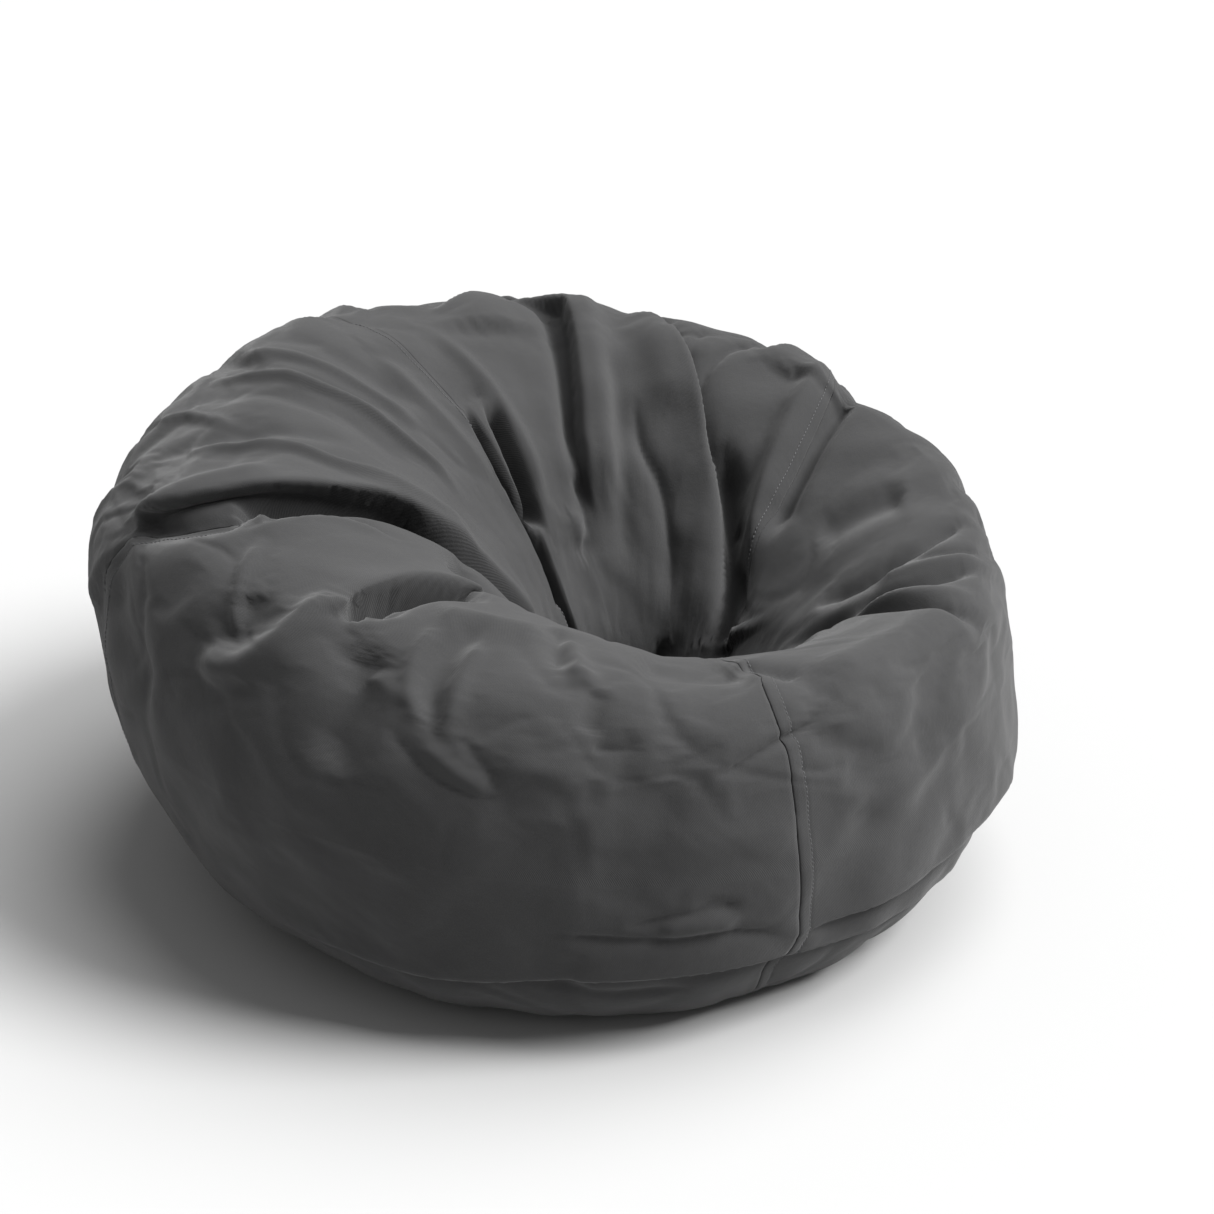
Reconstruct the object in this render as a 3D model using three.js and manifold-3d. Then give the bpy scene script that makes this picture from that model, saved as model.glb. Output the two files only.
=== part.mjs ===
// A round bean bag chair that stands as a nest with a funnel-shaped seat: a cotton cover of four
// walls, a seat cap and a two-part base with a zip, over a closed liner that holds the bead filling.
// Millimetres, +Z up, front of the seat towards -Y. The origin is on the floor, under the middle of
// the belly. A compass angle is 0 at the front, 90 at the right, 180 at the back and 270 at the left.
import * as THREE from "three";
import { mergeVertices } from "three/addons/utils/BufferGeometryUtils.js";
import Module from "manifold-3d";

const wasm = await Module();
wasm.setup();

// The form: arcs run from ring to ring, from the floor round the belly and over the crest to the pit.
const BASE = { x: 17, y: -58, r: 332 };
const BELLY = { x: 0, y: 0, r: 491, oval: 10, ovalAt: 25, share: 0.55 }; // share of the crest's height
const CREST = { x: 50, y: -38, r: 378, z: 435, tilt: 73, highAt: 204 };
const PIT = { x: 57, y: -88, r: 90, z: 120 };
const FULLNESS = { under: 1.1, over: 0.75, seat: 1.15, seatSwing: 0.15, seatSwingAt: 110 };

// Layers, as depths under the outer surface.
const COVER_T = 1.5;
const LINER_DEPTH = 4.5;
const LINER_T = 1;
const FILL_DEPTH = 5.8;
const GAP = 0.3; // between pieces that touch
const SEAMS_DEG = { front: -5, right: 104, back: 194, left: 257 };
const SEAM_GAP_DEG = 0.05;
const STITCH_DEG = 1.4; // the topstitched row runs this far beside its seam
const STITCH_HALF_DEG = 0.12;
const STITCH_T = 0.8;
const LABEL_T = 0.6;

// Stations along a wall, in arcs: 1 is the base edge, 2 the belly, 3 the crest and 4 the pit edge.
const STATIONS = [1, 1.15, 1.35, 1.6, 1.8, 2, 2.2, 2.4, 2.6, 2.8, 3, 3.15, 3.3, 3.5, 3.7, 3.85, 4];
const WALLS = [
  { side: "front_right", from: SEAMS_DEG.front, to: SEAMS_DEG.right, columns: 10 },
  { side: "back_right", from: SEAMS_DEG.right, to: SEAMS_DEG.back, columns: 8 },
  { side: "back_left", from: SEAMS_DEG.back, to: SEAMS_DEG.left, columns: 6 },
  { side: "front_left", from: SEAMS_DEG.left, to: SEAMS_DEG.front + 360, columns: 8 },
];

const COVER_ZIP = {
  y: BASE.y, length: 560, slot: 7, tapeOuter: 19, tapeInner: 3.4, rowInner: 0.8, rowOuter: 3.1,
  chainLow: 1.3, chainHigh: 3.1, tapeLow: 1.95, tapeT: 0.5, sliderW: 11, sliderL: 16, plateT: 0.7,
};
const LINER_ZIP = {
  y: BASE.y + 110, length: 380, slot: 6, tapeOuter: 16, tapeInner: 3, rowInner: 0.8, rowOuter: 2.7,
  chainLow: 5.4, chainHigh: 6.8, tapeLow: 5.85, tapeT: 0.4, sliderW: 9, sliderL: 13, plateT: 0.6,
};
const POST_W = 1; // the slider's wedge, between the two rows

const rad = THREE.MathUtils.degToRad;

const material = (color, roughness, metalness = 0) =>
  new THREE.MeshStandardMaterial({ color, roughness, metalness });
const TWILL = material(0x4a4a4b, 0.9);
const THREAD = material(0x3c3c3e, 0.7);
const TAPE = material(0x2f2f31, 0.85);
const METAL = material(0x8d8f92, 0.35, 1);
const COIL = material(0xd9d9d6, 0.5);
const LINER = material(0xe6e6e2, 0.85);
const LABEL_WHITE = material(0xf2f2ef, 0.8);
const BEADS = material(0xf7f7f5, 0.6);

const root = new THREE.Group();

function add(name, geometry, finish) {
  const mesh = new THREE.Mesh(geometry, finish);
  mesh.name = name;
  root.add(mesh);
  return mesh;
}

// The four rings, as points at a compass angle.
const around = (centre, radius, angle, z) =>
  new THREE.Vector3(centre.x + radius * Math.sin(angle), centre.y - radius * Math.cos(angle), z);
const crestHeight = (angle) => CREST.z + CREST.tilt * Math.cos(angle - rad(CREST.highAt));
const baseRing = (angle) => around(BASE, BASE.r, angle, 0);
const crestRing = (angle) => around(CREST, CREST.r, angle, crestHeight(angle));
const pitRing = (angle) => around(PIT, PIT.r, angle, PIT.z);
function bellyRing(angle) {
  const radius = BELLY.r + BELLY.oval * Math.cos(2 * (angle - rad(BELLY.ovalAt)));
  return around(BELLY, radius, angle, BELLY.share * crestHeight(angle));
}

// A point between rings a and b: across is its share of the way outwards, and up of the way in height.
function between(a, b, across, up) {
  const p = a.clone().lerp(b, across);
  p.z = THREE.MathUtils.lerp(a.z, b.z, up);
  return p;
}

// The outer surface, for a compass angle and a station from 0, the middle of the base, to 5, the
// middle of the seat cap.
function surface(angle, station) {
  const arc = Math.min(4, Math.floor(station));
  const t = station - arc;
  const sin = Math.sin((t * Math.PI) / 2);
  const cos = Math.cos((t * Math.PI) / 2);
  const seat = FULLNESS.seat + FULLNESS.seatSwing * Math.cos(angle - rad(FULLNESS.seatSwingAt));
  if (arc === 0) return around(BASE, BASE.r * t, angle, 0);
  if (arc === 1) {
    const p = FULLNESS.under;
    return between(baseRing(angle), bellyRing(angle), sin ** p, 1 - cos ** p);
  }
  if (arc === 2) {
    const p = FULLNESS.over;
    return between(bellyRing(angle), crestRing(angle), 1 - cos ** p, sin ** p);
  }
  if (arc === 3) return between(crestRing(angle), pitRing(angle), sin ** seat, 1 - cos ** seat);
  return around(PIT, PIT.r * (1 - t), angle, PIT.z);
}

// Which way is into the bag, at length 1 across a layer: straight up or down at the two flat faces, and
// mitred between the wall and the cap at the pit's edge.
function inward(angle, station) {
  if (station <= 1) return new THREE.Vector3(0, 0, 1);
  if (station > 4) return new THREE.Vector3(0, 0, -1);
  if (station === 4) return new THREE.Vector3(Math.sin(angle), -Math.cos(angle), -1);
  const step = 1e-3;
  const along = surface(angle, station + step).sub(surface(angle, station - step));
  const across = surface(angle + step, station).sub(surface(angle - step, station));
  return along.cross(across).normalize();
}

const layerPoint = (angle, station, depth) =>
  surface(angle, station).addScaledVector(inward(angle, station), depth);

// A piece of a layer: a box bent on to the surface, over lists of angles and stations.
function panel(angles, stations, outerDepth, innerDepth) {
  const geometry = new THREE.BoxGeometry(1, 1, 1, angles.length - 1, stations.length - 1, 1);
  const at = geometry.attributes.position;
  for (let i = 0; i < at.count; i += 1) {
    const column = Math.round((at.getX(i) + 0.5) * (angles.length - 1));
    const row = Math.round((at.getY(i) + 0.5) * (stations.length - 1));
    const depth = at.getZ(i) > 0 ? outerDepth : innerDepth;
    const p = layerPoint(angles[column], stations[row], depth);
    at.setXYZ(i, p.x, p.y, p.z);
  }
  return geometry;
}

const columnDegrees = ({ from, to, columns }) =>
  Array.from({ length: columns + 1 }, (_, i) => from + (i * (to - from)) / columns);

// The compass angles of the walls' columns all the way round, in radians.
const CORNERS = WALLS.flatMap((wall) => columnDegrees(wall).slice(0, -1)).map(rad);

// The angles of one wall's columns, just short of the seams at its two sides.
function wallAngles(wall, extraDeg) {
  const degrees = columnDegrees(wall);
  degrees[0] += SEAM_GAP_DEG;
  degrees[wall.columns] -= SEAM_GAP_DEG;
  degrees.push(...extraDeg.map((d) => wall.from + d));
  return degrees.sort((a, b) => a - b).map(rad);
}

function addWalls(prefix, finish, outerDepth, thickness, extraDeg) {
  for (const wall of WALLS) {
    const geometry = panel(wallAngles(wall, extraDeg), STATIONS, outerDepth, outerDepth + thickness);
    add(`${prefix}_wall_${wall.side}`, geometry, finish);
  }
}

// A flat round panel, with its corners on the walls' columns.
function disc(centre, radius, low, thickness) {
  const corner = (angle) => new THREE.Vector2(radius * Math.sin(angle), -radius * Math.cos(angle));
  const shape = new THREE.Shape(CORNERS.map(corner));
  const geometry = new THREE.ExtrudeGeometry(shape, { depth: thickness, bevelEnabled: false });
  return geometry.translate(centre.x, centre.y, low);
}

// The round cap at the bottom of the seat.
const seatCap = (depth, thickness) =>
  disc(PIT, PIT.r + depth - GAP, PIT.z - depth - thickness, thickness);

// Half of the base, cut back at the zip. side is -1 for the front half and 1 for the back one.
function basePanel(side, zip, low, thickness) {
  const whole = solid(disc(BASE, BASE.r - 2 * GAP, low, thickness));
  const slot = box(zip.length + 2 * GAP, zip.y - zip.slot, zip.y + zip.slot, low - 1, low + thickness + 1);
  const edge = zip.y + side * (GAP / 2);
  const otherHalf = box(2 * BASE.r, edge, edge - side * 2 * BASE.r, low - 1, low + thickness + 1);
  return geometryOf(whole.subtract(solid(slot)).subtract(solid(otherHalf)));
}

function box(lengthX, y0, y1, z0, z1, x = BASE.x) {
  const geometry = new THREE.BoxGeometry(lengthX, Math.abs(y1 - y0), z1 - z0);
  return geometry.translate(x, (y0 + y1) / 2, (z0 + z1) / 2);
}

// The slider: two plates round the closed chain, joined by the wedge between its two rows.
function sliderGeometry(zip, x) {
  const profile = new THREE.Shape();
  const half = zip.sliderW / 2;
  const low = zip.chainLow - GAP - zip.plateT;
  const high = zip.chainHigh + GAP + zip.plateT;
  const corners = [
    [-half, low], [half, low], [half, low + zip.plateT], [POST_W / 2, low + zip.plateT],
    [POST_W / 2, high - zip.plateT], [half, high - zip.plateT], [half, high], [-half, high],
    [-half, high - zip.plateT], [-POST_W / 2, high - zip.plateT],
    [-POST_W / 2, low + zip.plateT], [-half, low + zip.plateT],
  ];
  profile.setFromPoints(corners.map(([y, z]) => new THREE.Vector2(y, z)));
  const geometry = new THREE.ExtrudeGeometry(profile, { depth: zip.sliderL, bevelEnabled: false });
  geometry.rotateX(Math.PI / 2).rotateZ(Math.PI / 2); // across, up and along become Y, Z and X
  return geometry.translate(x, zip.y, 0);
}

function addZip(prefix, zip, rowFinish, sliderFinish) {
  for (const [side, sign] of [["front", -1], ["back", 1]]) {
    const rowY = [zip.y + sign * zip.rowInner, zip.y + sign * zip.rowOuter];
    const tapeY = [zip.y + sign * zip.tapeInner, zip.y + sign * zip.tapeOuter];
    const tapeHigh = zip.tapeLow + zip.tapeT;
    add(`${prefix}_zip_tape_${side}`, box(zip.length, ...tapeY, zip.tapeLow, tapeHigh), TAPE);
    add(`${prefix}_zip_teeth_${side}`, box(zip.length, ...rowY, zip.chainLow, zip.chainHigh), rowFinish);
  }
  const stopL = 3;
  const stopHalfW = zip.rowOuter;
  for (const [which, sign] of [["left", -1], ["right", 1]]) {
    const x = BASE.x + sign * (zip.length / 2 - stopL / 2 - GAP);
    const y = [zip.y - zip.rowInner + GAP, zip.y + zip.rowInner - GAP];
    const high = zip.chainHigh + GAP + zip.plateT;
    const bar = box(stopL, y[0], y[1], zip.chainLow, high, x);
    const bridge = box(stopL, zip.y - stopHalfW, zip.y + stopHalfW, zip.chainHigh + GAP, high, x);
    add(`${prefix}_zip_stop_${which}`, joined(bar, bridge), sliderFinish);
  }
  const parked = BASE.x + zip.length / 2 - stopL - 2 * GAP - zip.sliderL;
  add(`${prefix}_zip_slider`, sliderGeometry(zip, parked), sliderFinish);
}

// three.js geometry to a solid and back, for joins and cuts.
function solid(geometry) {
  const bare = geometry.clone();
  bare.deleteAttribute("normal");
  bare.deleteAttribute("uv");
  const merged = mergeVertices(bare, 1e-3);
  const mesh = new wasm.Mesh({
    numProp: 3,
    vertProperties: new Float32Array(merged.attributes.position.array),
    triVerts: new Uint32Array(merged.index.array),
  });
  return new wasm.Manifold(mesh);
}

function geometryOf(manifold) {
  const mesh = manifold.getMesh();
  const geometry = new THREE.BufferGeometry();
  geometry.setAttribute("position", new THREE.BufferAttribute(mesh.vertProperties, 3));
  geometry.setIndex(new THREE.BufferAttribute(mesh.triVerts, 1));
  return geometry;
}

const joined = (a, b) => geometryOf(solid(a).add(solid(b)));

// A row of topstitching beside a seam, lying on the outside of the cover.
function stitchGeometry(seamDeg) {
  const middle = seamDeg + STITCH_DEG;
  const angles = [middle - STITCH_HALF_DEG, middle + STITCH_HALF_DEG].map(rad);
  return panel(angles, STATIONS.slice(1, -1), -GAP - STITCH_T, -GAP);
}

// The bead filling: a sphere wrapped on to the inside of the liner, with a channel over the liner's zip.
function fillGeometry() {
  const stations = [0, ...STATIONS, 5];
  const geometry = new THREE.SphereGeometry(1, CORNERS.length, stations.length - 1);
  const { position, uv } = geometry.attributes;
  for (let i = 0; i < position.count; i += 1) {
    const row = Math.round(uv.getY(i) * (stations.length - 1));
    const angle = CORNERS[Math.round(uv.getX(i) * CORNERS.length) % CORNERS.length];
    const p = layerPoint(angle, stations[row], FILL_DEPTH);
    position.setXYZ(i, p.x, p.y, p.z);
  }
  const zip = LINER_ZIP;
  const roof = zip.chainHigh + zip.plateT + 3 * GAP;
  const reach = zip.tapeOuter + 1;
  const channel = box(zip.length + 4, zip.y - reach, zip.y + reach, FILL_DEPTH - 1, roof);
  return geometryOf(solid(geometry).subtract(solid(channel)));
}

// Outer cover.
addWalls("cover", TWILL, 0, COVER_T, [STITCH_DEG]);
add("cover_seat_cap", seatCap(0, COVER_T), TWILL);
add("cover_base_front", basePanel(-1, COVER_ZIP, 0, COVER_T), TWILL);
add("cover_base_back", basePanel(1, COVER_ZIP, 0, COVER_T), TWILL);
addZip("cover", COVER_ZIP, METAL, METAL);
for (const [side, seamDeg] of Object.entries(SEAMS_DEG)) {
  add(`seam_stitch_${side}`, stitchGeometry(seamDeg), THREAD);
}

// A blank label, sewn into the back seam low down and lying flat on the wall beside it.
const LABEL_ANGLES = [-5.5, -0.3].map((beside) => rad(SEAMS_DEG.back + beside));
const LABEL_STATIONS = [1.35, 1.6];
add("care_label", panel(LABEL_ANGLES, LABEL_STATIONS, -2 * GAP - LABEL_T, -2 * GAP), LABEL_WHITE);

// Inner liner and its filling.
addWalls("liner", LINER, LINER_DEPTH, LINER_T, []);
add("liner_seat_cap", seatCap(LINER_DEPTH, LINER_T), LINER);
add("liner_base_front", basePanel(-1, LINER_ZIP, LINER_DEPTH, LINER_T), LINER);
add("liner_base_back", basePanel(1, LINER_ZIP, LINER_DEPTH, LINER_T), LINER);
addZip("liner", LINER_ZIP, COIL, COIL);
add("bead_fill", fillGeometry(), BEADS);

export default root;
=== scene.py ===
"""A round bean bag chair: a grey cotton twill cover with a funnel seat, its zips, liner and bead filling.

Lengths are in metres unless a name says otherwise. A compass angle is 0 at the front of the seat (-Y),
90 at the right (+X), 180 at the back and 270 at the left, and may be written as -90 to 0 for 270 to 360.
A station runs from 0, the middle of the base, through 1, its edge, 2, the belly, 3, the crest of the rim,
and 4, the edge of the pit, to 5, the middle of the seat cap.
"""
import math
import bmesh
import bpy
import numpy as np
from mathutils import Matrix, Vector


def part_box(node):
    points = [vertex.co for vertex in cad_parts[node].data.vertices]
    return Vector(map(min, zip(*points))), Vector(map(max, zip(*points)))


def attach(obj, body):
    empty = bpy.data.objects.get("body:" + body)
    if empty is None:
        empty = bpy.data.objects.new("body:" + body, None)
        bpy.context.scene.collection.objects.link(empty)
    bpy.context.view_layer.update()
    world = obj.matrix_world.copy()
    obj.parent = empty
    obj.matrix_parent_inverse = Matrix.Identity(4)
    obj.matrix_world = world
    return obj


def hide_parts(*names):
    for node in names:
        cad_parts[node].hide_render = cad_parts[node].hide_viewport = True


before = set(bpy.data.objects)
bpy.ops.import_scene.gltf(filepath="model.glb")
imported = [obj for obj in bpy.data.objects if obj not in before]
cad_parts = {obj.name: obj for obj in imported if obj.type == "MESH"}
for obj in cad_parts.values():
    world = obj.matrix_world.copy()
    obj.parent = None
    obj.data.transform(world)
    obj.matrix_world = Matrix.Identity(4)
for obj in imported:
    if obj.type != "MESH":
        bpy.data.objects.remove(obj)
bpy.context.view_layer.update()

# The form, as rings: the same curves as the CAD model's, which has its corners on them.
FRONT_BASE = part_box("cover_base_front")
BACK_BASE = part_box("cover_base_back")
BASE_R = 0.332
BASE_CENTRE = np.array([0.017, (FRONT_BASE[0][1] + BACK_BASE[1][1]) / 2])
BELLY_CENTRE = BASE_CENTRE + (-0.017, 0.058)
BELLY_R, BELLY_OVAL, BELLY_OVAL_AT = 0.491, 0.010, 25
BELLY_SHARE = 0.55  # of the crest's height
CREST_CENTRE = BASE_CENTRE + (0.033, 0.020)
CREST_R, CREST_Z, CREST_TILT, CREST_HIGH_AT = 0.378, 0.435, 0.073, 204
PIT_CENTRE = BASE_CENTRE + (0.040, -0.030)
PIT_R, PIT_Z = 0.090, 0.120
# How full the curves are under the belly, over it and inside the seat, as powers of sine and cosine.
UNDER, OVER = 1.115, 0.75
SEAT, SEAT_SWING, SEAT_SWING_AT = 1.15, 0.15, 110

# The four seams, each a line of (station, compass angle) points from the base edge to the pit.
# All but the front one run up into the folds that hide them.
WALLS = ["front_right", "back_right", "back_left", "front_left"]
SEAMS = {
    "front": [(1, -5), (1.55, -5.5), (1.66, -2), (2, -2.7), (2.5, -4.7), (3, -10), (3.4, -12), (4, -10)],
    "right": [(1, 104), (2.6, 104), (2.95, 106), (3.13, 104), (3.23, 103), (3.42, 101), (3.54, 100),
              (4, 100)],
    "back": [(1, 194), (2.8, 194), (3.1, 194), (3.33, 195), (3.5, 196.5), (3.62, 195.5), (3.75, 194),
             (4, 192)],
    "left": [(1, 256), (2, 253), (2.3, 253), (2.5, 256), (2.7, 261), (2.9, 263.5), (3.05, 263), (3.2, 261),
             (3.35, 258), (3.6, 254), (4, 252)],
}

# Topstitching: how far it lies beside a seam, and its stitches.
STITCH_BESIDE, STITCH_LIFT = 0.012, 0.0001
STITCH_PITCH, STITCH_LENGTH, STITCH_RADIUS = 0.0052, 0.0038, 0.00045
STITCH_STATIONS = (1.04, 3.9)
# Along half a stitch in shares of it: its thickness and how high it lies, in thread radii.
STITCH_LEVELS = [(1, 0.3, -1.2), (0.85, 0.9, -0.2), (0.5, 1, 0.6)]

COLUMNS = 150  # a wall
ROWS = 250
LAYER_GRID = (101, 151)
# Across a wall from each of its seams, in millimetres: how far in, and how deep the cloth lies there.
# It turns in at both, and on the right of a seam the allowance under it makes a raised band.
LEFT_EDGE = [(0, 6), (0.45, 0.7), (1.3, -0.1), (5, -0.5), (9.5, -0.5), (11.2, -0.4), (12.2, 0.4),
             (13.2, 0), (17, 0)]
RIGHT_EDGE = [(0, 6), (0.45, 0.8), (1.3, 0.1), (5, 0)]
WALL_WIDTH = 750  # at the belly, in millimetres
SEAM_SHOWS = [1, 0.3, 0.3, 0.3]  # how much of this each seam shows: front, right, back, left

# How far random unevenness moves the cloth.
SLOW_WAVES, SMALL_WAVES, PLEATS, HAIRLINES = 0.0035, 0.0011, 0.0003, 0.0009
# A flap's edge is this soft. Cloth pushed over the groove moves by this many times the fold's height.
FLAP_EDGE, FLAP_REACH, HOOD_REACH = 0.0035, 0.45, 1.5
FOLD_FADE, HOOD_FADE = 0.22, 0.09  # the shares of a fold's length over which its ends die out

SIM_COLUMNS, SIM_ROWS = 64, 110  # a wall
SIM_FRAMES = 20
SIM_CLOTH = {"quality": 5, "mass": 0.3, "tension_stiffness": 25, "compression_stiffness": 25,
             "shear_stiffness": 8, "bending_stiffness": 0.35, "pin_stiffness": 1.0,
             "uniform_pressure_force": 0.6}
SIM_SLACK = 0.05  # how much longer the cloth is than the form it lies on
SIM_HOLD = 0.12  # how strongly each point is held in place
SIM_CAP = 0.010
SIM_KEEP = 12  # cells: movement wider than about this is taken out
SIM_SHOWS, SIM_SHOWS_AT_LIP = 0.2, 0.5  # the shares of the rest that are laid on the cover
LIP_STATION, LIP_SPREAD = 2.6, 0.35

# The layers under the cover's folded surface, and the heights they keep inside the base and the cap.
LINER_UNDER, LINER_LOWEST = 0.009, 0.0047
FILL_UNDER, FILL_OVER_SLIDER, FILL_UNDER_CAP = 0.0115, 0.0008, 0.0015
FOLD_BOTTOM_HIGHEST = 0.002  # a layer rises no more than this above the smooth form, before its depth

# The round caps of the seat: the crown, and the ripples where the cloth is drawn in.
CAP_CROWN, CAP_PUCKER, CAP_RIPPLE, CAP_RIPPLES = 0.006, 0.0014, 0.0009, 23
LINER_CAP_INSIDE = 0.008  # its radius is this much smaller than the CAD piece's

# Base panels: the slot for half a zip, its width and length, and the hem beside it.
TWILL_THICK, LINER_THICK = 0.0008, 0.0005
COVER_ZIP_SLOT, LINER_ZIP_SLOT = (0.007, 0.562), (0.006, 0.382)
BASE_INSIDE, BASE_APART = 0.0008, 0.0005
HEM, HEM_GROOVE, BASE_WAVE = 0.0004, 0.0003, 0.00025

# Zips. A tooth's outline is in shares of its pitch and depth, its levels are (height, bevel).
COVER_PITCH, LINER_PITCH = 0.0022, 0.0016
TOOTH_WIDTH = 0.62  # of the pitch
TOOTH_OUTLINE = [(-0.5, -0.5), (-0.5, 0.1), (-0.3, 0.35), (-0.15, 0.5), (0.15, 0.5), (0.3, 0.35), (0.5, 0.1),
                 (0.5, -0.5)]
TOOTH_LEVELS = [(0, 0.1), (0.12, 0), (0.88, 0), (1, 0.1)]
# A slider's outline and its levels, (height, length, width), in halves of the CAD piece's size.
SLIDER_OUTLINE = [(-1, -0.6), (-0.65, -0.78), (0.2, -1), (0.85, -0.92), (1, -0.6), (1, 0.6), (0.85, 0.92),
                  (0.2, 1), (-0.65, 0.78), (-1, 0.6)]
SLIDER_LEVELS = [(-1, 0.45, 0.16), (-0.95, 0.52, 0.22), (-0.7, 0.56, 0.26), (-0.64, 0.94, 0.92),
                 (-0.54, 1, 1), (0.85, 1, 1), (1, 0.94, 0.92)]
TAPE_EDGE, STOP_EDGE = 0.0001, 0.0002

LABEL_SIZE = (0.044, 0.080)
LABEL_THICK = 0.0004
LABEL_STATIONS = (1.33, 1.505)
LABEL_FROM_SEAM = 0.0015  # a share of the wall's width
LABEL_WALL_WIDTH = 0.69  # where the label is
LABEL_LIFT, LABEL_CURL = 0.0008, 0.003

CLOTH_ROUND, CLOTH_PER_STATION = 0.42, 0.33  # metres of cloth for a radian and for a station

FLOOR_HALF, PAPER_GREY = 30, 0.36
SKY = 0.39
# Where each light comes from, how many degrees wide it is and how strong.
KEY_SUN = ((1.6, -1.5, 2.4), 26, 5.6)
TOP_SUN = ((1.3, -0.1, 3.0), 50, 3.5)
CAMERA_TURN, CAMERA_RISE, CAMERA_AWAY, CAMERA_AIM_Z = -32, 27, 3.3, 0.25
CAMERA_LENS, CAMERA_SHIFT = 90, (0.008, 0.031)


# ---- the form

def ring(centre, radius, angle, height):
    x = centre[0] + radius * np.sin(angle)
    y = centre[1] - radius * np.cos(angle)
    return np.stack([x, y, height + 0 * angle], -1)


def between(a, b, across, up):
    """Between rings a and b: across is the share of the way sideways, and up that in height."""
    p = a + (b - a) * across[..., None]
    p[..., 2] = a[..., 2] + (b[..., 2] - a[..., 2]) * up
    return p


def smooth_form(degrees, station):
    """Points on the smooth bag."""
    angle = np.radians(degrees)
    crest_z = CREST_Z + CREST_TILT * np.cos(angle - math.radians(CREST_HIGH_AT))
    belly_r = BELLY_R + BELLY_OVAL * np.cos(2 * (angle - math.radians(BELLY_OVAL_AT)))
    base = ring(BASE_CENTRE, BASE_R, angle, 0)
    belly = ring(BELLY_CENTRE, belly_r, angle, BELLY_SHARE * crest_z)
    crest = ring(CREST_CENTRE, CREST_R, angle, crest_z)
    pit = ring(PIT_CENTRE, PIT_R, angle, PIT_Z)
    arc = np.clip(np.floor(station), 0, 4).astype(int)
    t = station - arc
    sin = np.sin(t * math.pi / 2)
    cos = np.clip(np.cos(t * math.pi / 2), 0, 1)
    seat = SEAT + SEAT_SWING * np.cos(angle - math.radians(SEAT_SWING_AT))
    parts = [
        between(ring(BASE_CENTRE, 0, angle, 0), base, t, t),
        between(base, belly, sin ** UNDER, 1 - cos ** UNDER),
        between(belly, crest, 1 - cos ** OVER, sin ** OVER),
        between(crest, pit, sin ** seat, 1 - cos ** seat),
        between(pit, ring(PIT_CENTRE, 0, angle, PIT_Z), t, t),
    ]
    return np.select([arc[..., None] == i for i in range(5)], parts)


def unit(v):
    return v / np.maximum(np.linalg.norm(v, axis=-1, keepdims=True), 1e-9)


def form_normal(degrees, station):
    """Outward, found just beside the point so that it holds at the crest too."""
    h = 0.02  # of a station
    s = np.clip(station, 1 + h, 4 - h)
    along = smooth_form(degrees, s + h) - smooth_form(degrees, s - h)
    across = smooth_form(degrees + 0.5, s) - smooth_form(degrees - 0.5, s)
    return unit(np.cross(across, along))


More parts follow.
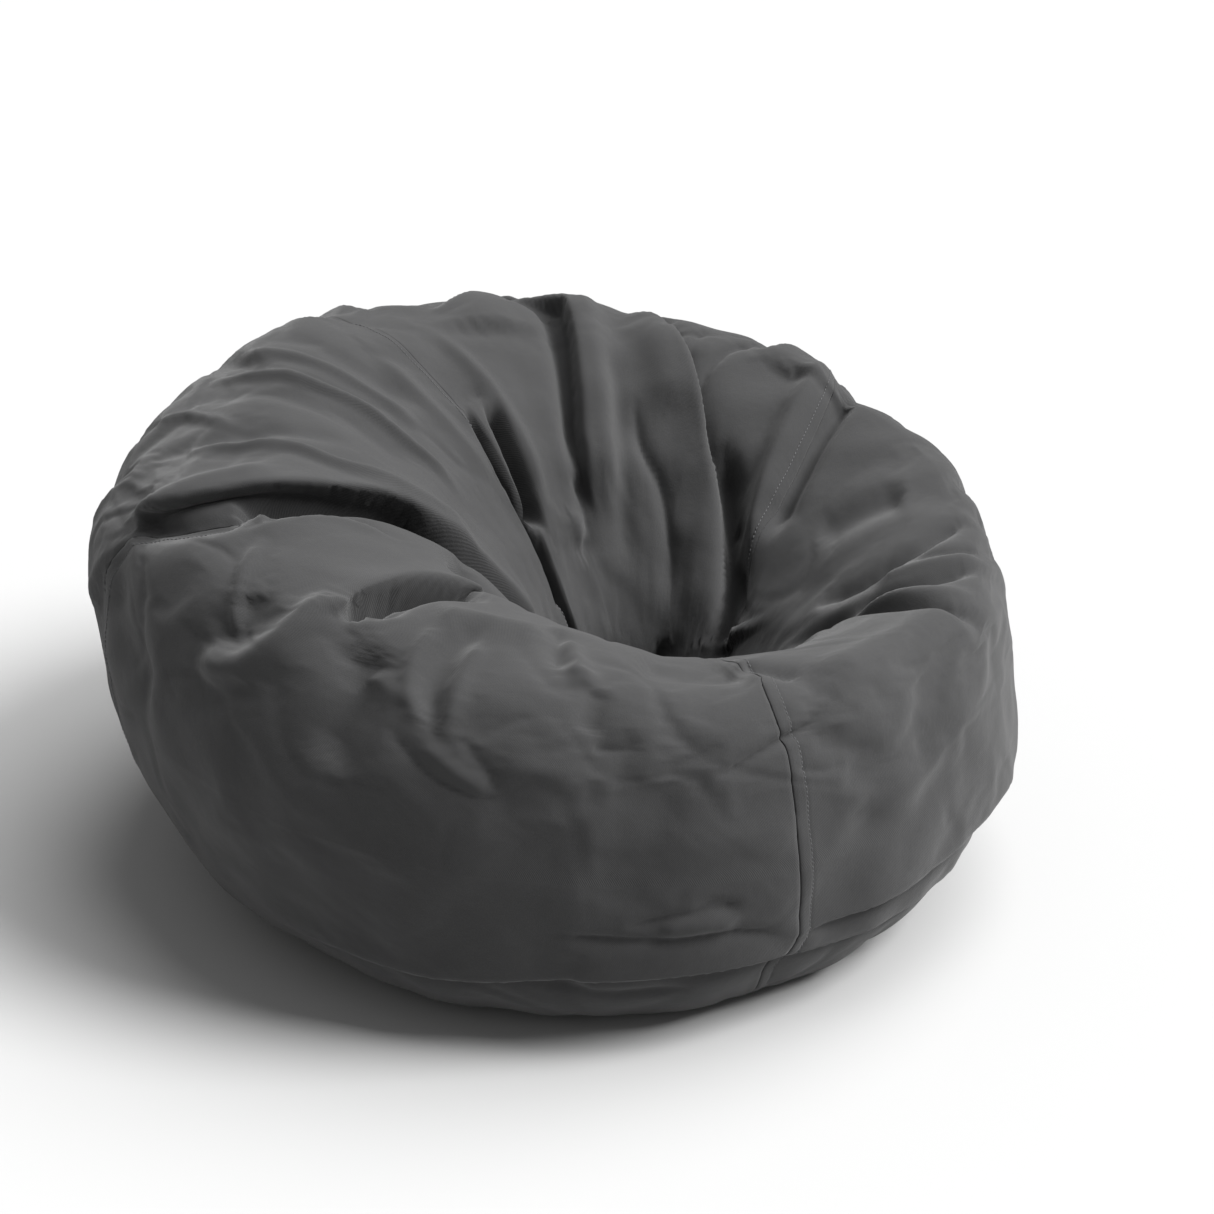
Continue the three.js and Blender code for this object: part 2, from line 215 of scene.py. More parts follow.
# ---- folds
# Each fold is a kind, a height and a width in millimetres, and a line of (compass angle, station) points.
# A ridge stands up and is round. A crease is a sharp valley, a dent a round one, a slot a steep-sided one.
# A flap stands up on the right of its line, seen from outside and walking along it, and hangs over a
# groove on the left. A hood is a flap that reaches further over.
FOLDS = [
    # The left wing: thin ridges that gather towards the pit, and the shoulder above them.
    ("ridge", 12, 60, [(196, 2.8), (206, 2.92), (216, 2.8)]),
    ("ridge", 13, 60, [(236, 2.35), (244, 2.25), (252, 2.15)]),
    ("ridge", 7, 9, [(214, 2.75), (215, 2.97), (214, 3.15), (212, 3.35)]),
    ("ridge", 9, 8, [(220, 2.72), (222, 2.9), (222, 3.1), (221, 3.25), (222, 3.5)]),
    ("ridge", 6, 9, [(231, 2.6), (233, 2.8), (239, 2.95)]),
    ("ridge", 10, 8, [(242, 2.75), (246, 2.95), (247, 3.1), (249, 3.2), (247, 3.35), (240, 3.55)]),
    ("dent", 7, 18, [(226, 2.7), (228, 2.95), (228, 3.2), (229, 3.4)]),
    ("dent", 6, 16, [(240, 2.55), (242, 2.8), (241, 3.0), (238, 3.25)]),
    ("dent", 5, 16, [(208, 2.85), (209, 3.05), (207, 3.3)]),
    # The big lip at the left, over its pocket.
    ("hood", 20, 14, [(246, 3.9), (248, 3.55), (250, 3.4), (252.5, 3.28), (255.5, 3.17), (257, 3.05),
                      (257, 2.93), (256, 2.78), (252, 2.5)]),
    ("ridge", 8, 10, [(254, 3.05), (254, 2.85), (253, 2.65), (250, 2.45)]),
    ("slot", 110, 17, [(261.5, 2.88), (262, 3.0), (261.5, 3.1), (259.5, 3.22), (257, 3.35), (254, 3.5)]),
    ("slot", 90, 17, [(259.5, 3.15), (257.5, 3.3), (255, 3.4), (252, 3.55), (250, 3.9)]),
    ("dent", 58, 30, [(268, 3.36), (275, 3.4), (283, 3.45), (291, 3.55), (298, 3.75)]),
    ("dent", 16, 18, [(254, 2.5), (260, 2.65), (263, 2.8), (264, 2.95)]),
    ("flap", 7, 8, [(268, 2.86), (267.5, 2.96), (267, 3.05), (268, 3.15), (273, 3.24)]),
    ("ridge", 7, 6, [(260, 2.99), (264, 2.97), (268, 2.93)]),
    ("ridge", 6, 8, [(283, 2.45), (279, 2.62), (275, 2.78), (271, 2.92)]),
    # The second pocket, and the arm that runs down from it.
    ("dent", 24, 16, [(293, 2.88), (292, 3.0), (291.5, 3.12), (293, 3.3)]),
    ("hood", 10, 9, [(289, 3.35), (287, 3.2), (286.5, 3.1), (287, 3.0), (289, 2.91), (292, 2.82)]),
    ("slot", 60, 10, [(294, 2.84), (291, 2.92), (289, 3.02), (288.5, 3.14), (290, 3.3)]),
    ("ridge", 16, 19, [(287, 2.95), (289, 2.78), (289, 2.6), (286.5, 2.45), (282, 2.36), (277, 2.35)]),
    ("dent", 14, 30, [(298, 2.82), (300, 2.65), (302, 2.45), (300, 2.2)]),
    ("dent", 7, 24, [(279, 2.72), (282, 2.6), (282, 2.42)]),
    ("ridge", 3, 10, [(301, 2.64), (305, 2.6), (309, 2.56)]),
    ("crease", 2.5, 9, [(276, 2.5), (279, 2.52), (283, 2.5)]),
    ("crease", 2.5, 9, [(273, 2.42), (277, 2.4), (281, 2.42)]),
    # The V of cloth under the front lip, and the arrow below it.
    ("dent", 9, 16, [(305, 3.1), (306, 2.95), (308, 2.8), (310, 2.65), (313, 2.45)]),
    ("ridge", 7, 9, [(302, 3.0), (304, 2.85), (307, 2.65), (312, 2.45)]),
    ("ridge", 6, 9, [(309, 3.0), (311, 2.85), (313, 2.65), (314, 2.45)]),
    ("crease", 2.5, 4, [(306, 2.47), (310, 2.36), (314, 2.28), (319, 2.24), (323, 2.24)]),
    ("crease", 2.5, 4, [(316, 2.47), (319, 2.38), (322, 2.26)]),
    ("ridge", 3, 8, [(311, 2.42), (316, 2.33), (321, 2.26)]),
    ("ridge", 3, 12, [(320, 2.36), (325, 2.39), (330, 2.38), (336, 2.36)]),
    ("dent", 2, 14, [(319, 2.2), (325, 2.24), (331, 2.27), (335, 2.33)]),
    ("crease", 4, 6, [(331, 2.52), (334, 2.52), (337, 2.56)]),
    ("crease", 7, 6, [(346, 2.37), (351, 2.47), (355, 2.55), (358, 2.6), (361, 2.72)]),
    ("crease", 3, 6, [(356, 2.38), (360, 2.33), (364, 2.33)]),
    ("crease", 3, 6, [(344, 1.9), (347, 1.92), (350, 1.88)]),
    ("dent", 5, 16, [(328, 2.88), (329, 2.72), (330, 2.58)]),
    ("dent", 4, 26, [(2, 2.3), (10, 2.25), (20, 2.3)]),
    ("dent", 4, 22, [(3, 2.1), (12, 2.02), (24, 2.1)]),
    ("ridge", 4, 20, [(1, 2.2), (11, 2.14), (22, 2.2)]),
    ("ridge", 3, 24, [(340, 2.15), (350, 2.1), (358, 2.15)]),
    # The front lip.
    ("ridge", 9, 11, [(318, 3.15), (321, 3.05), (324, 2.96), (328, 2.92)]),
    ("crease", 8, 10, [(315, 3.22), (318, 3.08), (321, 2.95)]),
    ("dent", 14, 40, [(330, 3.15), (340, 3.12), (350, 3.12)]),
    ("crease", 10, 11, [(350, 3.15), (353, 3.04), (357, 2.95)]),
    ("ridge", 12, 26, [(357, 2.9), (363, 2.93), (370, 2.97), (380, 2.98), (390, 2.95), (397, 2.85)]),
    ("ridge", 10, 24, [(298, 3.02), (304, 3.07), (310, 3.1), (316, 3.12)]),
    # The right inner wall.
    ("dent", 18, 13, [(36, 2.7), (33, 2.85), (31, 2.98), (31, 3.1), (34, 3.25), (41, 3.45)]),
    ("ridge", 8, 13, [(40, 2.8), (37, 2.95), (36, 3.1), (38, 3.25), (45, 3.45)]),
    ("dent", 16, 11, [(47, 2.78), (44, 3.0), (41, 3.14), (41, 3.25), (43, 3.4), (48, 3.6)]),
    ("ridge", 6, 11, [(50, 2.85), (48, 3.0), (47, 3.15), (48, 3.3)]),
    ("crease", 6, 7, [(52, 2.88), (51, 3.05), (52, 3.2)]),
    ("crease", 15, 11, [(62, 2.95), (58, 3.1), (55, 3.2), (54, 3.35), (58, 3.5)]),
    ("dent", 8, 24, [(84, 3.42), (78, 3.3), (73, 3.15)]),
    # The right of the back wall.
    ("ridge", 17, 15, [(109, 2.8), (109, 3.1), (108, 3.25), (107, 3.35), (105, 3.45), (105, 3.58)]),
    ("dent", 24, 13, [(103, 2.85), (102, 3.1), (101, 3.25), (99.5, 3.38), (98, 3.5)]),
    ("crease", 10, 9, [(107, 3.56), (99, 3.64), (90, 3.63)]),
    ("crease", 6, 10, [(114, 3.5), (107, 3.5)]),
    ("ridge", 13, 32, [(98, 3.7), (94, 3.72)]),
    ("crease", 9, 7, [(120, 2.93), (126, 3.08), (129, 3.18), (131, 3.3)]),
    ("crease", 6, 7, [(131, 2.96), (133, 3.1), (134, 3.2)]),
    ("crease", 14, 9, [(136, 2.82), (137, 3.0), (136, 3.1)]),
    ("ridge", 14, 40, [(116, 2.8), (112, 2.95), (112, 3.1)]),
    ("flap", 28, 15, [(140, 2.95), (138, 3.05), (136, 3.15), (131, 3.28), (127, 3.38), (122, 3.45),
                      (117, 3.53), (112, 3.62), (109, 3.72), (106, 3.85)]),
    ("dent", 30, 18, [(124, 3.33), (118, 3.43), (113, 3.52), (107, 3.62), (103, 3.75), (101, 3.9)]),
    ("ridge", 12, 24, [(143, 2.9), (141, 3.15), (136, 3.35)]),
    ("ridge", 14, 45, [(172, 2.85), (171, 3.0), (174, 3.15)]),
    # The middle of the back wall.
    ("crease", 12, 9, [(146, 3.3), (144, 3.42), (139, 3.48), (136, 3.54), (133, 3.62), (131, 3.75)]),
    ("dent", 7, 12, [(151, 3.15), (150, 3.35), (151, 3.5), (152, 3.68)]),
    ("ridge", 14, 17, [(153, 2.85), (153, 3.2), (155, 3.4), (157, 3.58)]),
    ("flap", 20, 12, [(163, 3.58), (163, 3.47), (160, 3.35), (157.5, 3.22), (156.5, 3.1), (157, 2.97),
                      (163, 2.84)]),
    ("dent", 17, 13, [(165, 2.88), (160.5, 3.0), (160, 3.1), (161, 3.25), (164, 3.4), (166, 3.5)]),
    ("crease", 10, 8, [(168, 3.48), (166, 3.56), (169, 3.63), (175, 3.66)]),
    ("ridge", 8, 14, [(172, 3.56), (171, 3.62)]),
    ("dent", 12, 10, [(152, 3.92), (140, 3.85), (130, 3.78)]),
    # The left of the back wall, with its two narrow slots.
    ("ridge", 7, 11, [(184, 3.1), (184, 3.3), (183, 3.42), (184, 3.58)]),
    ("slot", 40, 5, [(194, 3.33), (196, 3.44), (196.5, 3.52), (195.5, 3.62), (194, 3.75)]),
    ("slot", 36, 9, [(187, 3.34), (189, 3.44), (190, 3.52), (191, 3.6)]),
    ("slot", 18, 4, [(193, 3.58), (193, 3.66), (192.5, 3.74), (191, 3.86)]),
    ("crease", 5, 6, [(196, 3.33), (190, 3.31), (186, 3.32)]),
    ("ridge", 6, 12, [(201, 3.1), (203, 3.3), (203, 3.5)]),
    # Round the bottom: the cloth hangs over a groove, with a lens of cloth at the front.
    ("flap", 13, 16, [(100, 1.68), (80, 1.77), (60, 1.81), (40, 1.81), (25, 1.79), (10, 1.75), (0, 1.715),
                      (-7, 1.69)]),
    ("flap", 7, 15, [(50, 1.56), (30, 1.58), (15, 1.59), (0, 1.6), (-10, 1.62), (-20, 1.62), (-32, 1.6),
                     (-45, 1.56), (-60, 1.53), (-80, 1.5)]),
    ("crease", 7, 7, [(-3, 1.7), (-7, 1.76), (-12, 1.785), (-18, 1.78), (-26, 1.78), (-34, 1.8)]),
    ("crease", 5, 6, [(-9, 1.87), (-13, 1.89), (-18, 1.87), (-24, 1.83)]),
    ("ridge", 4, 12, [(-10, 1.82), (-14, 1.84), (-20, 1.83)]),
    ("crease", 4, 8, [(-15, 1.52), (-25, 1.52), (-36, 1.57)]),
    # Outside at the left, behind and at the right.
    ("dent", 8, 30, [(255, 2.3), (262, 2.15), (272, 2.1)]),
    ("crease", 6, 12, [(228, 2.45), (222, 2.3), (220, 2.1)]),
    ("flap", 9, 18, [(262, 1.52), (240, 1.56), (215, 1.6), (190, 1.57), (165, 1.6), (140, 1.56), (110, 1.6)]),
    ("dent", 9, 26, [(200, 2.85), (197, 2.6), (199, 2.3), (196, 2.05)]),
    ("crease", 10, 12, [(176, 2.9), (179, 2.7), (177, 2.45), (180, 2.2)]),
    ("ridge", 8, 20, [(186, 2.8), (188, 2.55), (187, 2.3)]),
    ("flap", 12, 16, [(158, 2.8), (161, 2.65), (160, 2.45), (164, 2.25)]),
    ("crease", 8, 12, [(136, 2.8), (139, 2.6), (137, 2.4)]),
    ("dent", 9, 24, [(146, 2.55), (149, 2.3), (147, 2.1)]),
    ("crease", 7, 10, [(120, 2.85), (117, 2.65), (119, 2.5)]),
    ("ridge", 8, 22, [(106, 2.75), (103, 2.5), (106, 2.25)]),
    ("dent", 8, 24, [(92, 2.8), (94, 2.55), (91, 2.3)]),
    ("crease", 6, 10, [(70, 2.75), (73, 2.6), (71, 2.4)]),
    ("dent", 7, 26, [(58, 2.6), (61, 2.35), (57, 2.15)]),
    ("crease", 5, 9, [(170, 1.95), (160, 1.98), (150, 1.93)]),
    ("crease", 5, 9, [(215, 2.0), (205, 1.96), (197, 1.99)]),
]


def fold_line(points, spacing=0.004):
    """A fold's points, evenly spaced on the smooth form, their sideways directions and shares of the way."""
    spots = np.array(points, float)
    knots = np.arange(len(spots))
    fine = np.linspace(0, len(spots) - 1, 40 * (len(spots) - 1) + 1)
    degrees = smooth_between(knots, spots[:, 0], fine)
    station = smooth_between(knots, spots[:, 1], fine)
    place = smooth_form(degrees, station)
    run = np.concatenate([[0], np.cumsum(np.linalg.norm(np.diff(place, axis=0), axis=1))])
    even = np.linspace(0, run[-1], max(6, int(run[-1] / spacing)))
    degrees = np.interp(even, run, degrees)
    station = np.interp(even, run, station)
    place = smooth_form(degrees, station)
    normal = form_normal(degrees, station)
    along = unit(np.gradient(place, axis=0))
    side = unit(np.cross(along, normal))
    return place, side, even / even[-1]


def smooth_between(knots, values, at):
    """A Catmull-Rom curve through values."""
    i = np.clip(np.floor(at).astype(int), 0, len(knots) - 2)
    t = at - i
    padded = np.concatenate([[2 * values[0] - values[1]], values, [2 * values[-1] - values[-2]]])
    a, b, c, d = (padded[i + k] for k in range(4))
    return 0.5 * (2 * b + (c - a) * t + (2 * a - 5 * b + 4 * c - d) * t ** 2
                  + (3 * b - a - 3 * c + d) * t ** 3)


def profile(kind, x, width):
    """Height of a fold at x across it, for a height of 1, and how far the cloth there moves along -x."""
    if kind == "ridge":
        return np.exp(-(x / width) ** 2), 0 * x
    if kind == "dent":
        return -np.exp(-(x / width) ** 2), 0 * x
    if kind == "crease":
        return -np.exp(-(np.abs(x) / width) ** 1.25), 0 * x
    if kind == "slot":
        return -np.exp(-(np.abs(x) / width) ** 4), 0 * x
    edge = 0.5 * (1 + np.tanh(x / FLAP_EDGE))
    up = np.exp(-np.maximum(x, 0) / (2.4 * width))
    down = np.exp(np.minimum(x, 0) / width)
    reach = HOOD_REACH if kind == "hood" else FLAP_REACH
    return edge * up - 0.8 * (1 - edge) * down, reach * edge * np.exp(-np.maximum(x, 0) / (1.4 * width))


def add_folds(place, normal):
    """How far every fold together lifts the smooth points and pushes them aside."""
    flat = place.reshape(-1, 3)
    lift = np.zeros(len(flat))
    shift = np.zeros_like(flat)
    for kind, height_mm, width_mm, points in FOLDS:
        height, width = height_mm / 1000, width_mm / 1000
        line, side, share = fold_line(points)
        reach = 3.2 * width * (2.4 if kind in ("flap", "hood") else 1) + 0.004
        low, high = line.min(0) - reach, line.max(0) + reach
        near = np.flatnonzero(((flat > low) & (flat < high)).all(1))
        if len(near) == 0:
            continue
        best = np.full(len(near), 1e9)
        index = np.zeros(len(near), int)
        for k in range(len(line)):
            d = ((flat[near] - line[k]) ** 2).sum(1)
            closer = d < best
            best[closer] = d[closer]
            index[closer] = k
        away = flat[near] - line[index]
        x = np.sign((away * side[index]).sum(1)) * np.sqrt(best)
        dies_over = HOOD_FADE if kind == "hood" else FOLD_FADE
        fade = np.clip(np.minimum(share[index], 1 - share[index]) / dies_over, 0, 1)
        past_end = (index == 0) | (index == len(line) - 1)
        fade = np.where(past_end, 0, fade * fade * (3 - 2 * fade))
        up, back = profile(kind, x, width)
        lift[near] += height * fade * up
        shift[near] -= (height * fade * back)[:, None] * side[index]
    return lift.reshape(place.shape[:2]), shift.reshape(place.shape)


# ---- slow and fine unevenness

def waves(place, seed, count, shortest, longest, stretch=(1, 1, 1)):
    """Smooth random unevenness, about -1 to 1, with wavelengths in metres."""
    rng = np.random.default_rng(seed)
    total = np.zeros(place.shape[:-1])
    for _ in range(count):
        length = shortest * (longest / shortest) ** rng.random()
        direction = unit(rng.normal(size=3)) / np.array(stretch)
        total += np.sin((place @ direction) * 2 * math.pi / length + rng.random() * 2 * math.pi)
    return total / math.sqrt(count)


def hairlines(place):
    """Thin creases that wander over the cloth and come and go, 0 to 1 deep."""
    total = 0
    for seed in (31, 32, 33):
        line = waves(place, seed, 8, 0.12, 0.4)
        shows = np.clip(0.3 + waves(place, seed + 10, 6, 0.25, 0.6), 0, 1)
        total = total + shows * np.exp(-(line / 0.11) ** 2)
    return total


def pleats(degrees, station, seed=4):
    """Fine pleats that run down the inner wall and gather at the pit."""
    rng = np.random.default_rng(seed)
    total = np.zeros(degrees.shape)
    angle = np.radians(degrees)
    for count in (9, 13, 17, 23, 29, 37, 47):
        sway = 0.35 * rng.normal() * (station - 3)
        total += np.cos(count * angle + rng.random() * 6.3 + sway * 4) * (9 / count) ** 0.6
    inner = np.clip((station - 2.95) / 0.5, 0, 1)
    return total * inner * inner * (3 - 2 * inner)


# ---- the folded cover

def seam_degrees(seam, station):
    """The compass angle of a seam at a station, with its line's corners rounded off."""
    at, degrees = zip(*list(SEAMS.values())[seam % 4])
    turn = sum(np.interp(station + step, at, degrees) for step in (-0.06, -0.02, 0.02, 0.06)) / 4
    return turn + (360 if seam == 4 else 0)


def spots(wall, share, station):
    """The grid of compass angles and stations at shares of the way across a wall."""
    first, last = seam_degrees(wall, station), seam_degrees(wall + 1, station)
    degrees = first + share[:, None] * (last - first)
    return degrees, np.broadcast_to(station, degrees.shape)


def wall_grid(wall, columns=COLUMNS, rows=ROWS, edges=True):
    """Compass angles and stations over one wall, and how deep its cloth is tucked in at the seams."""
    if edges:
        left = np.array(LEFT_EDGE) / (WALL_WIDTH, 1000)
        right = np.array(RIGHT_EDGE[::-1]) / (WALL_WIDTH, 1000)
        inner = np.linspace(left[-1, 0], 1 - right[0, 0], columns)[1:-1]
        share = np.concatenate([left[:, 0], inner, 1 - right[:, 0]])
        show_left, show_right = SEAM_SHOWS[wall % 4], SEAM_SHOWS[(wall + 1) % 4]
        tuck = np.concatenate([left[:, 1] * show_left, 0 * inner, right[:, 1] * show_right])
    else:
        share = np.linspace(0, 1, columns)
        tuck = 0 * share
    degrees, station = spots(wall, share, np.linspace(1, 4, rows))
    return degrees, station, tuck[:, None], share


def relief(degrees, station):
    """The smooth form, its normals, how far the cloth stands off it and how far folds push it aside."""
    place = smooth_form(degrees, station)
    normal = form_normal(degrees, station)
    lift, shift = add_folds(place, normal)
    lift += SLOW_WAVES * waves(place, 1, 10, 0.14, 0.40)
    lift += SMALL_WAVES * waves(place, 2, 16, 0.05, 0.12)
    lift += PLEATS * pleats(degrees, station)
    lift -= HAIRLINES * hairlines(place)
    ends = np.clip((station - 1) / 0.12, 0, 1) * np.clip((4 - station) / 0.05, 0, 1)
    return place, normal, lift * ends, shift * ends[..., None]


def settle():
    """Cloth simulation of the whole cover, slack over the filling: how far each point of a coarse grid
    of walls moves from its folded place, as (columns round, rows, 3). Only narrow movement is kept."""
    walls = []
    for wall in range(4):
        degrees, station, _, _ = wall_grid(wall, SIM_COLUMNS + 1, SIM_ROWS, edges=False)
        place, normal, lift, shift = relief(degrees, station)
        walls.append((place + normal * lift[..., None] + shift)[:-1])
    start = np.concatenate(walls)
    piece = grid_mesh("slack_cover", np.concatenate([start, start[:1]]))
    close_ring(piece, len(start), SIM_ROWS)
    pins = piece.vertex_groups.new(name="held")
    columns = np.arange(len(start)) * SIM_ROWS
    pins.add([int(i) for i in range(len(start) * SIM_ROWS)], SIM_HOLD, "REPLACE")
    for row in (0, 1, SIM_ROWS - 2, SIM_ROWS - 1):
        pins.add([int(i) for i in columns + row], 1.0, "REPLACE")
    cloth = piece.modifiers.new("cloth", "CLOTH")
    settings = cloth.settings
    for name, value in SIM_CLOTH.items():
        setattr(settings, name, value)
    settings.vertex_group_mass = "held"
    settings.shrink_min = -SIM_SLACK
    settings.use_pressure = True
    settings.effector_weights.gravity = 0
    cloth.point_cache.frame_start = 1
    cloth.point_cache.frame_end = SIM_FRAMES
    scene = bpy.context.scene
    for step in range(1, SIM_FRAMES + 1):
        scene.frame_set(step)
    shaped = piece.evaluated_get(bpy.context.evaluated_depsgraph_get()).to_mesh()
    after = np.empty(len(shaped.vertices) * 3, np.float32)
    shaped.vertices.foreach_get("co", after)
    moved = after.reshape(start.shape).astype(float) - start
    moved = moved - blurred(moved, SIM_KEEP)
    bpy.data.objects.remove(piece)
    scene.frame_set(1)
    length = np.linalg.norm(moved, axis=-1, keepdims=True)
    station = np.linspace(1, 4, SIM_ROWS)
    at_lip = np.exp(-((station - LIP_STATION) / LIP_SPREAD) ** 2)
    shows = SIM_SHOWS + (SIM_SHOWS_AT_LIP - SIM_SHOWS) * at_lip
    return moved * np.minimum(1, SIM_CAP / np.maximum(length, 1e-6)) * shows[:, None]


def blurred(field, reach):
    """The mean of a field over reach cells each way, wrapped round the bag."""
    wrapped = np.concatenate([field[-reach:], field, field[:reach]])
    total = np.cumsum(np.concatenate([np.zeros_like(wrapped[:1]), wrapped]), 0)
    field = (total[2 * reach:] - total[:-2 * reach])[:len(field)] / (2 * reach)
    edged = np.pad(field, [(0, 0), (reach, reach), (0, 0)], mode="edge")
    total = np.cumsum(np.concatenate([np.zeros_like(edged[:, :1]), edged], 1), 1)
    return (total[:, 2 * reach:] - total[:, :-2 * reach])[:, :field.shape[1]] / (2 * reach)


def close_ring(piece, columns, rows):
    """Joins the last column of a grid, a copy of the first, to the first."""
    mesh = piece.data
    index = np.empty(len(mesh.loops), np.int32)
    mesh.loops.foreach_get("vertex_index", index)
    index[index >= columns * rows] -= columns * rows
    places = np.empty(len(mesh.vertices) * 3, np.float32)
    mesh.vertices.foreach_get("co", places)
    joined = bpy.data.meshes.new(mesh.name)
    joined.from_pydata(places.reshape(-1, 3)[:columns * rows].tolist(), [], index.reshape(-1, 4).tolist())
    piece.data = joined


def settled(moved, wall, share, rows):
    """The simulated movement of one wall's points. rows are shares of the way from base edge to pit."""
    column = (wall + share) * SIM_COLUMNS
    row = rows * (SIM_ROWS - 1)
    low_c, low_r = np.floor(column).astype(int), np.minimum(np.floor(row).astype(int), SIM_ROWS - 2)
    c, r = (column - low_c)[:, None, None], (row - low_r)[None, :, None]
    around = len(moved)

    def corner(right, up):
        return moved[np.ix_((low_c + right) % around, low_r + up)]

    near = corner(0, 0) * (1 - r) + corner(0, 1) * r
    far = corner(1, 0) * (1 - r) + corner(1, 1) * r
    return near * (1 - c) + far * c


def folded(degrees, station, wall, share, rows):
    """Points on the folded cover and their outward normals."""
    place, normal, lift, shift = relief(degrees, station)
    place = place + normal * lift[..., None] + shift
    if SETTLED is not None:
        place = place + settled(SETTLED, wall, share, rows)
    place[..., 2] = np.maximum(place[..., 2], 0.0006)
    along = np.gradient(place, axis=1)
    across = np.gradient(place, axis=0)
    return place, unit(np.cross(across, along))


def lowest_near(values, reach):
    """Each value's smallest neighbour within reach rows and columns."""
    low = values
    for axis in (0, 1):
        edged = np.pad(low, [(reach, reach) if k == axis else (0, 0) for k in (0, 1)], mode="edge")
        length = low.shape[axis]
        low = np.min([np.take(edged, range(k, k + length), axis) for k in range(2 * reach + 1)], 0)
    return low


def sunk(grid, wall, depth, every=2, reach=4):
    """A layer that lies depth under the cover and under the bottoms of its folds, at every second point."""
    degrees, station, _, share = grid
    place, normal, lift, _ = relief(degrees, station)
    if SETTLED is not None:
        lift = lift + (settled(SETTLED, wall, share, (station[0] - 1) / 3) * normal).sum(-1)
    lift = np.minimum(lowest_near(lift, reach), FOLD_BOTTOM_HIGHEST) - depth
    place = place + normal * lift[..., None]
    return place[::every, ::every]


def new_object(name, data):
    made = bpy.data.objects.new(name, data)
    bpy.context.scene.collection.objects.link(made)
    return made


def grid_mesh(name, place, uv=None):
    """A mesh over a grid of points."""
    columns, rows = place.shape[:2]
    index = np.arange(columns * rows).reshape(columns, rows)
    quads = np.stack([index[:-1, :-1], index[1:, :-1], index[1:, 1:], index[:-1, 1:]], -1).reshape(-1, 4)
    mesh = bpy.data.meshes.new(name)
    mesh.vertices.add(columns * rows)
    mesh.vertices.foreach_set("co", place.reshape(-1).astype(np.float32))
    mesh.loops.add(quads.size)
    mesh.loops.foreach_set("vertex_index", quads.reshape(-1).astype(np.int32))
    mesh.polygons.add(len(quads))
    mesh.polygons.foreach_set("loop_start", np.arange(0, quads.size, 4, dtype=np.int32))
    mesh.update(calc_edges=True)
    if uv is not None:
        layer = mesh.uv_layers.new(name="cloth")
        layer.data.foreach_set("uv", uv.reshape(-1, 2)[quads.reshape(-1)].reshape(-1).astype(np.float32))
    mesh.polygons.foreach_set("use_smooth", np.ones(len(quads), bool))
    mesh.validate()
    return new_object(name, mesh)


def cloth_uv(degrees, station):
    """Metres along and across the cloth."""
    return np.stack([np.radians(degrees) * CLOTH_ROUND, station * CLOTH_PER_STATION], -1)


def dress(piece, material, slot, body, *nodes):
    """A finished piece: its material, its place on a body and the CAD nodes it stands for."""
    piece.data.materials.clear()
    piece.data.materials.append(material)
    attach(piece, body)
    if nodes:
        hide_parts(*nodes)
    return piece


# ---- materials

def new_material(name, color, roughness, metallic=0.0, sheen=0.0, specular=0.5):
    material = bpy.data.materials.new(name)
    material.use_nodes = True
    shader = material.node_tree.nodes["Principled BSDF"]
    shader.inputs["Base Color"].default_value = (*color, 1)
    shader.inputs["Roughness"].default_value = roughness
    shader.inputs["Metallic"].default_value = metallic
    shader.inputs["Sheen Weight"].default_value = sheen
    shader.inputs["Sheen Roughness"].default_value = 0.5
    shader.inputs["Specular IOR Level"].default_value = specular
    return material, material.node_tree, shader


def node(tree, kind, **values):
    """A new shader node, with its inputs and settings given by name. An input's spaces are underscores."""
    made = tree.nodes.new(kind)
    for key, value in values.items():
        if key.replace("_", " ") in made.inputs:
            made.inputs[key.replace("_", " ")].default_value = value
        else:
            setattr(made, key, value)
    return made


def bumped(tree, height, strength, depth, over=None, invert=False):
    """Relief from a texture's output, laid over another relief if there is one."""
    bump = node(tree, "ShaderNodeBump", Strength=strength, Distance=depth, invert=invert)
    tree.links.new(height, bump.inputs["Height"])
    if over:
        tree.links.new(over, bump.inputs["Normal"])
    return bump.outputs["Normal"]


def remapped(tree, value, low, high, to_low, to_high):
    """A texture's output, moved from low..high to to_low..to_high."""
    ramp = node(tree, "ShaderNodeMapRange", From_Min=low, From_Max=high, To_Min=to_low, To_Max=to_high)
    tree.links.new(value, ramp.inputs["Value"])
    return ramp.outputs[0]


def noise(tree, place, scale, detail):
    texture = node(tree, "ShaderNodeTexNoise", Scale=scale, Detail=detail)
    tree.links.new(place, texture.inputs["Vector"])
    return texture.outputs["Fac"]


